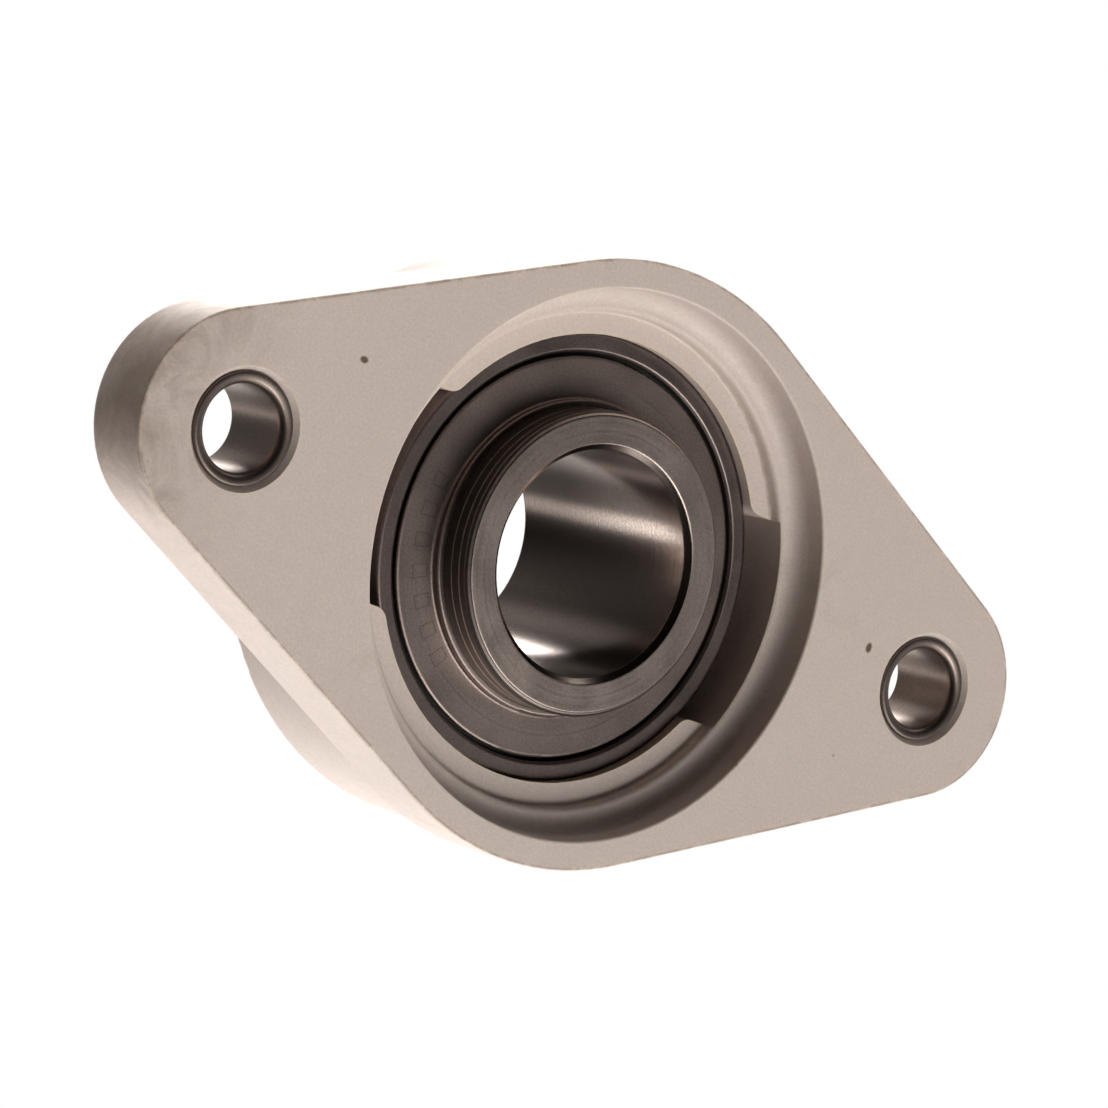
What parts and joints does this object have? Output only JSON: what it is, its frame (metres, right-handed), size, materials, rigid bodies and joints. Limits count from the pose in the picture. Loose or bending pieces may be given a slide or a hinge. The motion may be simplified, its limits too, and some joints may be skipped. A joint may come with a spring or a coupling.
{
  "type": "flange mount bearing",
  "caption": "Two-bolt flange mount bearing: rhombic plastic housing with steel bolt bushes and a self-aligning ball bearing insert with set screws.",
  "frame": {"origin": "on the bore axis, in the plane of the mounting face; the part stands on that face", "axes": "+Z along the bore towards the nose, away from the mounting face; +X along the line through the two bolt holes"},
  "size_m": [0.147, 0.08, 0.0402],
  "materials": {
    "housing_plastic": "moulded, faintly mottled off-white thermoplastic",
    "bush_steel": "drawn stainless tube, rounded lips",
    "nipple_steel": "bright plated steel",
    "spring_steel": "drawn wire",
    "ball_steel": "polished",
    "ring_steel": "ground, satin",
    "inner_ring_steel": "ground faces, honed bore",
    "flinger_steel": "pressed sheet, satin",
    "seal_rubber": "moulded nitrile rubber",
    "stiffener_steel": "pressed sheet",
    "cage_steel": "pressed sheet",
    "screw_steel": "stainless, cut thread"
  },
  "bodies": {
    "housing": {"housing": "housing_plastic", "bolt_bush_left": "bush_steel", "bolt_bush_right": "bush_steel", "nipple_body": "nipple_steel", "nipple_spring": "spring_steel"},
    "outer_race": {"outer_ring": "ring_steel", "seal_back": "seal_rubber", "seal_front": "seal_rubber", "seal_stiffener_back": "stiffener_steel", "seal_stiffener_front": "stiffener_steel"},
    "inner_race": {"inner_ring": "inner_ring_steel", "flinger_back": "flinger_steel", "flinger_front": "flinger_steel"},
    "cage": {"cage_back": "cage_steel", "cage_front": "cage_steel", "cage_rivets": "cage_steel"},
    "ball_1": {"ball_1": "ball_steel"},
    "ball_2": {"ball_2": "ball_steel"},
    "ball_3": {"ball_3": "ball_steel"},
    "ball_4": {"ball_4": "ball_steel"},
    "ball_5": {"ball_5": "ball_steel"},
    "ball_6": {"ball_6": "ball_steel"},
    "ball_7": {"ball_7": "ball_steel"},
    "ball_8": {"ball_8": "ball_steel"},
    "ball_9": {"ball_9": "ball_steel"},
    "set_screw_1": {"set_screw_1": "screw_steel"},
    "set_screw_2": {"set_screw_2": "screw_steel"},
    "nipple_ball": {"nipple_ball": "ball_steel"}
  },
  "joints": [
    {"name": "insert_swivel", "type": "hinge", "parent": "housing", "child": "outer_race", "pos_m": [0, 0, 0.018], "axis": [0, 1, 0], "range_deg": [-3, 3]},
    {"name": "shaft_spin", "type": "hinge", "parent": "outer_race", "child": "inner_race", "pos_m": [0, 0, 0.018], "axis": [0, 0, 1], "continuous": true},
    {"name": "cage_spin", "type": "hinge", "parent": "outer_race", "child": "cage", "pos_m": [0, 0, 0.018], "axis": [0, 0, 1], "continuous": true},
    {"name": "ball_spin_1", "type": "hinge", "parent": "cage", "child": "ball_1", "pos_m": [0.023, 0, 0.018], "axis": [0, 0, 1], "continuous": true},
    {"name": "ball_spin_2", "type": "hinge", "parent": "cage", "child": "ball_2", "pos_m": [0.01762, 0.01478, 0.018], "axis": [0, 0, 1], "continuous": true},
    {"name": "ball_spin_3", "type": "hinge", "parent": "cage", "child": "ball_3", "pos_m": [0.00399, 0.02265, 0.018], "axis": [0, 0, 1], "continuous": true},
    {"name": "ball_spin_4", "type": "hinge", "parent": "cage", "child": "ball_4", "pos_m": [-0.0115, 0.01992, 0.018], "axis": [0, 0, 1], "continuous": true},
    {"name": "ball_spin_5", "type": "hinge", "parent": "cage", "child": "ball_5", "pos_m": [-0.02161, 0.00787, 0.018], "axis": [0, 0, 1], "continuous": true},
    {"name": "ball_spin_6", "type": "hinge", "parent": "cage", "child": "ball_6", "pos_m": [-0.02161, -0.00787, 0.018], "axis": [0, 0, 1], "continuous": true},
    {"name": "ball_spin_7", "type": "hinge", "parent": "cage", "child": "ball_7", "pos_m": [-0.0115, -0.01992, 0.018], "axis": [0, 0, 1], "continuous": true},
    {"name": "ball_spin_8", "type": "hinge", "parent": "cage", "child": "ball_8", "pos_m": [0.00399, -0.02265, 0.018], "axis": [0, 0, 1], "continuous": true},
    {"name": "ball_spin_9", "type": "hinge", "parent": "cage", "child": "ball_9", "pos_m": [0.01762, -0.01478, 0.018], "axis": [0, 0, 1], "continuous": true},
    {"name": "set_screw_1_travel", "type": "slide", "parent": "inner_race", "child": "set_screw_1", "axis": [-0.5, 0.866, 0], "range_m": [-0.002, 0.003]},
    {"name": "set_screw_2_travel", "type": "slide", "parent": "inner_race", "child": "set_screw_2", "axis": [-0.5, -0.866, 0], "range_m": [-0.002, 0.003]},
    {"name": "nipple_valve", "type": "slide", "parent": "housing", "child": "nipple_ball", "axis": [0.7071, 0.7071, 0], "range_m": [-0.001, 0], "stiffness_N_per_m": 120, "springref_m": 0.0008, "deforming": ["nipple_spring"]}
  ],
  "couplings": [
    {"joint": "cage_spin", "follows": "shaft_spin", "ratio": 0.39647},
    {"joint": "ball_spin_1", "follows": "shaft_spin", "ratio": -2.3112},
    {"joint": "ball_spin_2", "follows": "shaft_spin", "ratio": -2.3112},
    {"joint": "ball_spin_3", "follows": "shaft_spin", "ratio": -2.3112},
    {"joint": "ball_spin_4", "follows": "shaft_spin", "ratio": -2.3112},
    {"joint": "ball_spin_5", "follows": "shaft_spin", "ratio": -2.3112},
    {"joint": "ball_spin_6", "follows": "shaft_spin", "ratio": -2.3112},
    {"joint": "ball_spin_7", "follows": "shaft_spin", "ratio": -2.3112},
    {"joint": "ball_spin_8", "follows": "shaft_spin", "ratio": -2.3112},
    {"joint": "ball_spin_9", "follows": "shaft_spin", "ratio": -2.3112}
  ]
}
